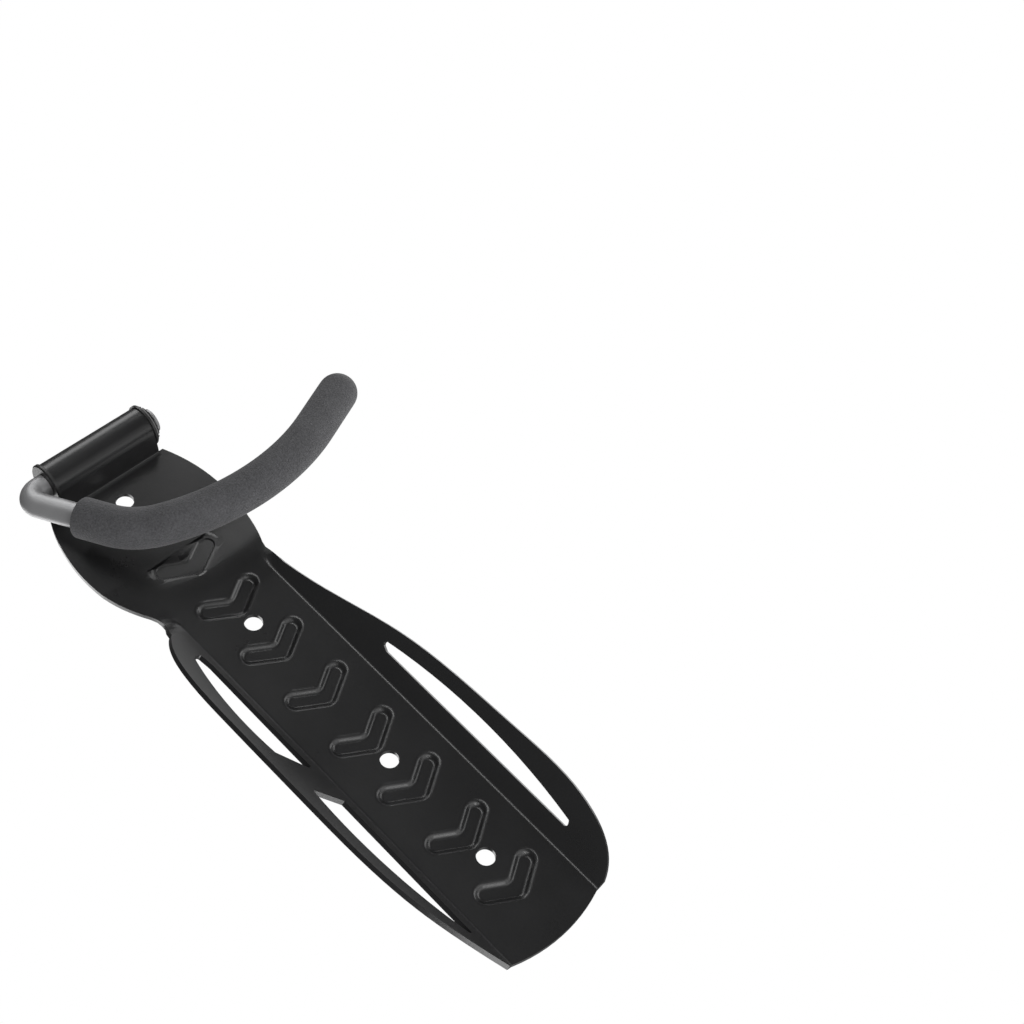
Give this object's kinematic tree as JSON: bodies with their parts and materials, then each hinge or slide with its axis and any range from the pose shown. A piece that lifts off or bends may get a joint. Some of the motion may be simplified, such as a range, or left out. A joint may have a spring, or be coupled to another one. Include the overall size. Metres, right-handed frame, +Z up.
{
  "type": "bicycle wall rack",
  "caption": "Pressed steel wall plate with a folded tyre tray and a padded steel hook that swings in a rolled barrel at the top.",
  "frame": {"origin": "on the back face of the plate's strip, on its centre line, halfway between the second and the fourth screw hole from the top", "axes": "+X along the wall to the right, +Y into the wall, +Z up"},
  "size_m": [0.1371, 0.0327, 0.2714],
  "materials": {
    "plate_paint": "satin",
    "rod_steel": "satin",
    "sleeve_foam": "matte",
    "bush_plastic": "satin",
    "washer_steel": "satin"
  },
  "bodies": {
    "plate": {"wall_plate": "plate_paint", "left_bush": "bush_plastic", "right_bush": "bush_plastic"},
    "hook": {"hook_rod": "rod_steel", "foam_sleeve": "sleeve_foam", "lock_washer": "washer_steel"}
  },
  "joints": [
    {"name": "hook_swing", "type": "hinge", "parent": "plate", "child": "hook", "pos_m": [0, -0.0061, 0.1602], "axis": [-1, 0, 0], "range_deg": [-9, 163]}
  ]
}
